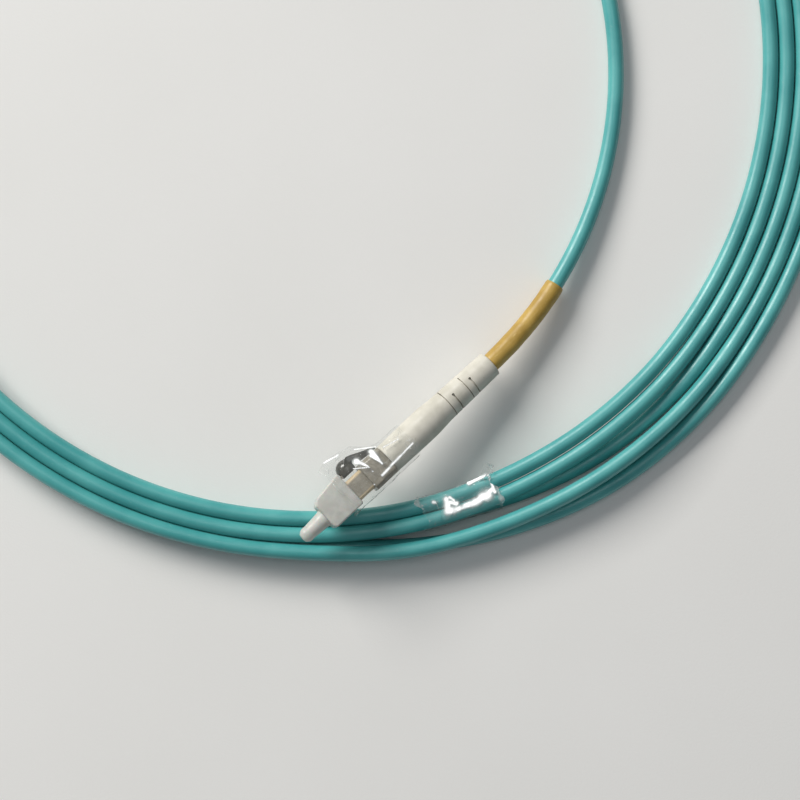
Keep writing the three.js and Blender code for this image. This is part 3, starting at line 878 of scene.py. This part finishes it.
def trigger(end):
    """The thumb trigger: an arm from the rear body to a round pad that hoods the latch's free end."""
    made = rounded(prism(f"trigger_{end}_lever", [
        (-5, 3.06), (-3.6, 3.06), (-1.6, 3.28), (-0.65, 3.42), (-0.6, 4.2), (-0.4, 4.4), (1.2, 4.4),
        (1.4, 5.5), (0.3, 5.72), (-0.6, 5.4), (-3, 4.3), (-4.6, 3.78), (-5, 3.6),
    ], TRIGGER_WIDTH), 0.2, 3)
    pad = ball("pad", (1.65, 0, 3.8), (1.95, 2.0, 2.05))
    made = combined("UNION", made, pad)
    room = block("room", rectangle(1.3, 0, 4.1), -0.6, 4)
    under = block("under", rectangle(3, 0, 2.86), -0.6, 4)
    made = combined("DIFFERENCE", made, room, under)
    placed(made, end, "trigger_plastic", f"trigger_{end}", f"trigger_{end}")


def dust_cap(end):
    """The frosted cap: a soft-edged skirt over the nose and the latch, and a slim nib over the ferrule."""
    made = rounded(prism(f"dust_cap_{end}_shell", [
        (CAP_RIM, -2.9), (10.3, -2.9), (10.8, -2.4), (10.8, 2.7), (9.8, 3.6), (CAP_RIM, 4.45),
    ], CAP_WIDTH), 0.55, 5)
    nib = lathe("nib", smooth_profile([
        (10.4, 1.95), (11.2, 1.72), (12.4, 1.58), (14.5, 1.42), (16, 1.22), (16.42, 0.85),
    ], 0.2) + [(16.5, 0.5), (16.5, 0), (10.4, 0)], 64)
    made = combined("UNION", made, nib)
    hollow = rounded(prism("hollow", [
        (CAP_RIM - 0.5, -2.4), (10.3, -2.4), (10.3, 2.5), (9.6, 3.15), (CAP_RIM - 0.5, 4.05),
    ], CAP_WIDTH - 1), 0.2, 2)
    ferrule_hole = lathe("hole", [(10, 0), (10, 0.95), (14.3, 0.85), (14.5, 0.6), (14.5, 0)], 48)
    made = combined("DIFFERENCE", made, hollow, ferrule_hole)
    placed(made, end, "cap_plastic", f"cap_{end}", f"dust_cap_{end}")


def ferrule(end):
    """The ceramic ferrule, with its polished tip rounded over."""
    made = lathe(f"ferrule_{end}_ceramic", [
        (3.45, FERRULE_BORE_RADIUS), (3.45, 0.6), (3.5, FERRULE_RADIUS), (11.75, FERRULE_RADIUS),
        (11.9, 0.6), (12.05, 0.5), (12.1, 0.4), (12.1, FERRULE_BORE_RADIUS),
    ], 64)
    placed(made, end, "ferrule_ceramic", f"ferrule_{end}", f"ferrule_{end}", smooth=25)


def spring(end):
    """The wire spring behind the ferrule's flange. It shortens as the ferrule is pushed back."""
    back, front, radius, wire, turns, sides = -0.3, 2.9, 1.15, 0.16, 4.5, 12
    count = int(turns * 28)
    share = np.linspace(0, 1, count + 1)
    angle = 2 * np.pi * turns * share
    spoke = np.stack([np.zeros_like(angle), np.cos(angle), np.sin(angle)], 1)
    centres = radius * spoke + np.outer(back + (front - back) * share, [1, 0, 0])
    tangents = np.gradient(centres, axis=0)
    tangents /= np.linalg.norm(tangents, axis=1)[:, None]
    binormals = np.cross(tangents, spoke)
    around = 2 * np.pi * np.arange(sides) / sides
    rings = centres[:, None] + wire * (
        np.cos(around)[None, :, None] * spoke[:, None] + np.sin(around)[None, :, None] * binormals[:, None]
    )
    faces = [tuple(range(sides)), tuple(range(count * sides, (count + 1) * sides))]
    for row in range(count):
        for k in range(sides):
            here, ahead = row * sides + k, row * sides + (k + 1) % sides
            faces.append((here, ahead, ahead + sides, here + sides))
    made = mesh_object(f"ferrule_spring_{end}_wire", rings.reshape(-1, 3), faces)
    placed(made, end, "spring_wire", None, f"ferrule_spring_{end}", smooth=50)
    ends = [PLUGS[end] @ Vector((x * MM, 0, 0)) for x in (back, front)]
    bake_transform(made, f"lead_{end}", f"ferrule_{end}", start=ends[0], end=ends[1])


# --- The clear film ---


def resampled(outline, count):
    """A closed outline as count points, evenly spread and with its corners eased."""
    outline = np.asarray(outline, float)
    closed = np.vstack([outline, outline[:1]])
    lengths = np.concatenate([[0], np.cumsum(np.linalg.norm(np.diff(closed, axis=0), axis=1))])
    even = np.linspace(0, lengths[-1], count, endpoint=False)
    points = np.stack([np.interp(even, lengths, closed[:, k]) for k in range(2)], 1)
    for _ in range(6):
        points = 0.5 * points + 0.25 * (np.roll(points, 1, 0) + np.roll(points, -1, 0))
    return points


def crumple(point, coarse, fine):
    """How far film stands out at a place, in mm."""
    place = Vector(point)
    nearest, second = noise.voronoi(place * 0.55)[0][:2]
    ridge = math.exp(-((second - nearest) / 0.12) ** 2)
    return coarse * (0.5 + noise.noise(place * 0.4)) + fine * abs(noise.noise(place * 1.3)) + 0.1 * ridge


def painted_highlight_streak(point, start, stop, width_start, width_stop):
    """How white a painted highlight, drawn as a crease from start to stop, makes a point, 0 to 1."""
    point, start, stop = (np.asarray(v, float) for v in (point, start, stop))
    line = stop - start
    share = min(1.0, max(0.0, float((point - start) @ line / (line @ line))))
    gap = np.linalg.norm(point - start - share * line)
    width = width_start + (width_stop - width_start) * share
    torn = 0.95 + 0.6 * noise.noise(Vector((point[0] * 0.8, point[1] * 0.8, 2)))
    return min(1.0, max(0.0, torn)) / (1 + (gap / width) ** 3)


def sheet(name, rows):
    """A thin closed tube of film from rows of points round it."""
    rows = np.asarray(rows, float)
    count, sides = rows.shape[:2]
    faces = []
    for row in range(count - 1):
        for k in range(sides):
            ahead = (k + 1) % sides
            a, b = row * sides, (row + 1) * sides
            faces.append((a + k, a + ahead, b + ahead, b + k))
    return mesh_object(name, rows.reshape(-1, 3), faces)


def thickened(piece):
    solid = piece.modifiers.new("thickness", "SOLIDIFY")
    solid.thickness = FILM
    solid.offset = 1
    return applied(piece)


# Painted highlights, drawn as white creases, each from (x, z) to (x, z) in the plug's frame, with its width
# at either end.
PLUG_PAINTED_HIGHLIGHTS = [
    ((-3.85, 3.1), (-3.7, 0.1), 0.5, 0.16),
    ((-3.2, 2.6), (-3.6, 0.6), 0.3, 0.1),
    ((-2.2, -1.5), (-4.3, -1.35), 0.2, 0.2),
    ((-4.5, -1.3), (-10.6, -1.0), 0.22, 0.12),
    ((-0.5, 3.7), (-1.5, 1.3), 0.5, 0.06),
    ((0.9, 3.1), (-1.4, 1.25), 0.07, 0.07),
    ((-1.4, 0.25), (-1.4, 0.3), 0.14, 0.14),
    ((0.05, -1.75), (0.05, -1.7), 0.12, 0.12),
    ((-9.2, 1.4), (-6.0, 2.2), 0.06, 0.1),
    ((-5.2, 3.2), (-1.9, 5.6), 0.08, 0.1),
    ((1.0, 6.9), (3.9, 7.7), 0.1, 0.16),
]


def plug_film(step):
    """Film round plug A's head: close on the boot, pulled up in a tent over the trigger."""
    along = [PLUG_FILM_BACK, -6, -4.9, -1.9, 1.0, 3.9, PLUG_FILM_FRONT]
    tops = [3.3, 3.45, 3.7, 6.25, 7.2, 7.6, 6.9]
    sides = 150
    rows = []
    for x in np.arange(PLUG_FILM_BACK, PLUG_FILM_FRONT + step / 2, step):
        top = float(np.interp(x, along, tops))
        shoulder = min(top - 0.3, 2.6)
        high = max(top - 1.3, shoulder + 0.2)
        half = 3.25 if x < -5.5 else 3.4
        ridge = float(np.interp(top, [3.5, 6, 7.6], [1.2, 1.0, 0.35]))
        outline = [
            (-2.2, -3.4), (2.2, -3.4), (half, -2.2), (half, shoulder),
            (max(ridge + 0.5, 2.35), high), (ridge, top), (-ridge, top), (-max(ridge + 0.5, 2.35), high),
            (-half, shoulder), (-half, -2.2),
        ]
        ring = resampled(outline, sides)
        middle = np.array([0, 0.5])
        row = []
        for y, z in ring:
            away = unit(np.array([y, z]) - middle)
            bulge = crumple((x, y, z), 0.22, 0.16)
            y, z = np.array([y, z]) + away * bulge
            angle = math.atan2(z, y)
            ragged = noise.noise(Vector((math.cos(angle) * 1.6, math.sin(angle) * 1.6, 3)))
            shift = ragged * (1.4 * np.clip((x - 2.5) / 3, 0, 1) + 1.2 * np.clip((-8 - x) / 3, 0, 1))
            row.append((x + shift, y, z))
        rows.append(row)
    made = thickened(sheet("plug_film_a_sheet", rows))
    # Painted highlights only on the film's side with y above 0.3, which faces the camera, and a whiter band
    # along its front end.
    haze_and_highlight = []
    for x, y, z in coordinates(made.data):
        value = max(painted_highlight_streak((x, z), *line) for line in PLUG_PAINTED_HIGHLIGHTS) if y > 0.3 else 0.0
        edge = 0.2 * np.clip((x - PLUG_FILM_FRONT + 0.4) / 0.4, 0, 1)
        haze_and_highlight.append(max(value, edge))
    add_value(made.data, "HazeAndPaintedHighlight", haze_and_highlight)
    placed(made, "a", "clear_film", "lead_a", "plug_film_a", smooth=60)


def hull(points):
    """The convex outline of [across, up] points."""
    points = sorted(map(tuple, points))

    def turns_left(a, b, c):
        return (b[0] - a[0]) * (c[1] - a[1]) - (b[1] - a[1]) * (c[0] - a[0]) > 0

    def chain(ordered):
        out = []
        for point in ordered:
            while len(out) > 1 and not turns_left(out[-2], out[-1], point):
                out.pop()
            out.append(point)
        return out[:-1]

    return chain(points) + chain(points[::-1])


def coil_tie(node, length, reach, painted_highlights, peak, step):
    """Film drawn round the strands at a CAD tie, with painted highlights on its top.

    Reach is how far out from the tie's middle it takes strands in. Peak is the place along the tie where a
    corner of it is pulled up, and how far.
    """
    low, high = (np.array(corner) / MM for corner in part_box(node))
    middle = (low + high) / 2
    lengths = np.arange(0, ROUTE_LENGTH, 0.5)
    points = ROUTE.at(lengths)
    out = unit((middle - points.mean(0)) * [1, 1, 0])
    along = np.array([-out[1], out[0], 0])
    rows = []
    sides = 120
    for u in np.arange(-length / 2, length / 2 + step / 2, step):
        plane = middle + along * u
        relative = points - plane
        near = (np.abs(relative @ out) < reach) & (np.abs(relative @ along) < 3)
        steps = np.flatnonzero(near[:-1] & near[1:] & ((relative[:-1] @ along) * (relative[1:] @ along) <= 0))
        crossings = [(float(relative[k] @ out), float(points[k][2])) for k in steps]
        skin = CABLE_RADIUS + FILM_GAP
        circles = [
            (v + skin * math.cos(a), max(0.05, h + skin * math.sin(a)))
            for v, h in crossings for a in np.linspace(0, 2 * math.pi, 32, endpoint=False)
        ]
        ring = resampled(hull(circles), sides)
        start = int(np.argmax(ring[:, 0] - 0.2 * ring[:, 1]))
        ring = np.roll(ring, -start, 0)
        heart = ring.mean(0)
        row = []
        for v, h in ring:
            away = unit(np.array([v, h]) - heart)
            place = plane + out * v
            bulge = crumple((place[0], place[1], h), 0.1, 0.14) if h > 1.5 else 0.0
            if peak:
                pull = math.exp(-((u - peak[0]) / 1.1) ** 2 - ((v - ring[:, 0].min()) / 0.9) ** 2)
                bulge += peak[1] * pull * (1 if h > 2.5 else 0)
            v, h = np.array([v, h]) + away * bulge
            ragged = noise.noise(Vector((v * 0.7, h * 0.7, 9)))
            near_end = np.clip((abs(u) - length / 2 + 2.5) / 2.5, 0, 1)
            row.append(plane + out * v + along * ragged * 1.3 * near_end + np.array([0, 0, h - plane[2]]))
        rows.append(row)
    made = thickened(sheet(f"{node}_sheet", rows))
    places = coordinates(made.data)
    relative = places - middle
    # Painted highlights only where the film lies high over the strands, above 3.4 mm, and a whiter band at
    # both ends of the tie.
    haze_and_highlight = []
    for r, p in zip(relative, places):
        u, v = float(r @ along), float(r @ out)
        value = max([painted_highlight_streak((u, v), *line) for line in painted_highlights] or [0]) if p[2] > 3.4 else 0.0
        edge = 0.35 * np.clip((abs(u) - length / 2 + 0.5) / 0.5, 0, 1)
        haze_and_highlight.append(max(value, edge))
    add_skin(made.data, places)
    add_value(made.data, "HazeAndPaintedHighlight", haze_and_highlight)
    made.data.shade_smooth()
    made.data.transform(Matrix.Scale(MM, 4))
    dressed(made, "clear_film", node)
    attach(made, "coil")


# Painted highlights on the ties, drawn as white creases: [along the strands, out from the tie's middle] of
# both ends, and both widths.
FRONT_PAINTED_HIGHLIGHTS = [
    ((-2.3, -1.2), (-2.5, 1.0), 0.5, 0.7),
    ((-2.5, 1.0), (-0.4, 1.1), 0.8, 0.45),
    ((-1.9, -0.6), (-0.7, 0.1), 0.3, 0.45),
    ((-0.6, 1.0), (2.4, 0.9), 0.4, 0.6),
    ((2.4, 0.9), (5.4, 0.0), 0.6, 0.95),
    ((5.4, 0.0), (6.9, -0.9), 0.7, 0.2),
    ((6.6, -3.6), (6.9, 0.0), 0.12, 0.3),
    ((6.6, -3.6), (2.6, -3.0), 0.15, 0.35),
    ((-4.8, -1.4), (-4.4, -1.2), 0.3, 0.3),
    ((-1.6, -1.4), (-0.9, -0.6), 0.25, 0.15),
]
BACK_PAINTED_HIGHLIGHTS = [
    ((-3.0, -1.4), (1.5, -0.8), 0.2, 0.35),
    ((1.5, -0.8), (3.6, -2.0), 0.3, 0.1),
    ((-1.0, 2.5), (3.0, 3.0), 0.12, 0.25),
]

# --- The whole cord ---

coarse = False
cable(4.0 if coarse else 2.0)
for end in "ab":
    marker_sleeve(end)
    boot(end)
    rear_body(end)
    plug_housing(end)
    latch_arm(end)
    trigger(end)
    dust_cap(end)
    ferrule(end)
    spring(end)
plug_film(0.3 if coarse else 0.15)
tie_step = 0.3 if coarse else 0.2
coil_tie("coil_tie_front", 15.0, 4.4, FRONT_PAINTED_HIGHLIGHTS, (6.6, 2.2), tie_step)
coil_tie("coil_tie_back", 10.0, 7.0, BACK_PAINTED_HIGHLIGHTS, None, tie_step)

CAD_SLOTS = {
    "ferrule_flange": "plated_brass",
    "crimp_post": "crimp_metal",
    "crimp_sleeve": "crimp_metal",
    "bare_fibre": "bare_glass_fibre",
}
for end in "ab":
    for stem, slot in CAD_SLOTS.items():
        dressed(frame["nodes"][f"{stem}_{end}"], slot)

# --- Floor, light and camera ---


def floor():
    half, height = 1500, -0.05
    corners = [(-half, -half, height), (half, -half, height), (half, half, height), (-half, half, height)]
    made = mesh_object("floor", corners, [(0, 1, 2, 3)])
    made.data.transform(Matrix.Scale(MM, 4))
    finish = Finish("floor_paper", "Object")
    finish.relief(finish.noise(2.5, 4), 0.02)
    made.data.materials.append(finish.set(
        Base_Color=finish.mixed(finish.noise(0.02, 3), rgb(236, 235, 232), rgb(243, 242, 240)),
        Roughness=0.7,
    ))


def soft_light(name, place, size, power, colour):
    """A soft rectangular light that faces the front of the coil."""
    data = bpy.data.lights.new(name, "AREA")
    data.shape = "RECTANGLE"
    data.size, data.size_y = size
    data.energy = power
    data.color = colour
    made = bpy.data.objects.new(name, data)
    bpy.context.scene.collection.objects.link(made)
    made.location = place
    made.rotation_euler = (Vector((0, -0.05, 0)) - Vector(place)).to_track_quat("-Z", "Y").to_euler()


def camera():
    """Almost straight above, over the part of the cord between the coil's front and the inner plug."""
    plug = PLUGS["a"].translation
    coil_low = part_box("coil_jacket")[0]
    target = Vector((plug.x + 0.0063, (plug.y + coil_low.y) / 2 + 0.0227, 0.003))
    height, lean = 0.5, 0.004
    data = bpy.data.cameras.new("camera")
    data.lens = 118
    made = bpy.data.objects.new("camera", data)
    bpy.context.scene.collection.objects.link(made)
    made.location = target + Vector((0, -lean, height))
    made.rotation_euler = (target - made.location).to_track_quat("-Z", "Y").to_euler()
    bpy.context.scene.camera = made


def surroundings():
    world = bpy.data.worlds.new("studio")
    world.use_nodes = True
    background = world.node_tree.nodes["Background"]
    background.inputs["Color"].default_value = (0.9, 0.94, 1.0, 1)
    background.inputs["Strength"].default_value = 0.17
    bpy.context.scene.world = world
    bpy.context.scene.view_settings.view_transform = "Standard"


floor()
soft_light("key", (-0.93, 0.85, 0.86), (0.84, 0.69), 27.0, (1.0, 0.985, 0.95))
soft_light("top", (0.1, 0.15, 1.1), (0.5, 0.5), 1.2, (0.95, 0.98, 1.0))
surroundings()
camera()
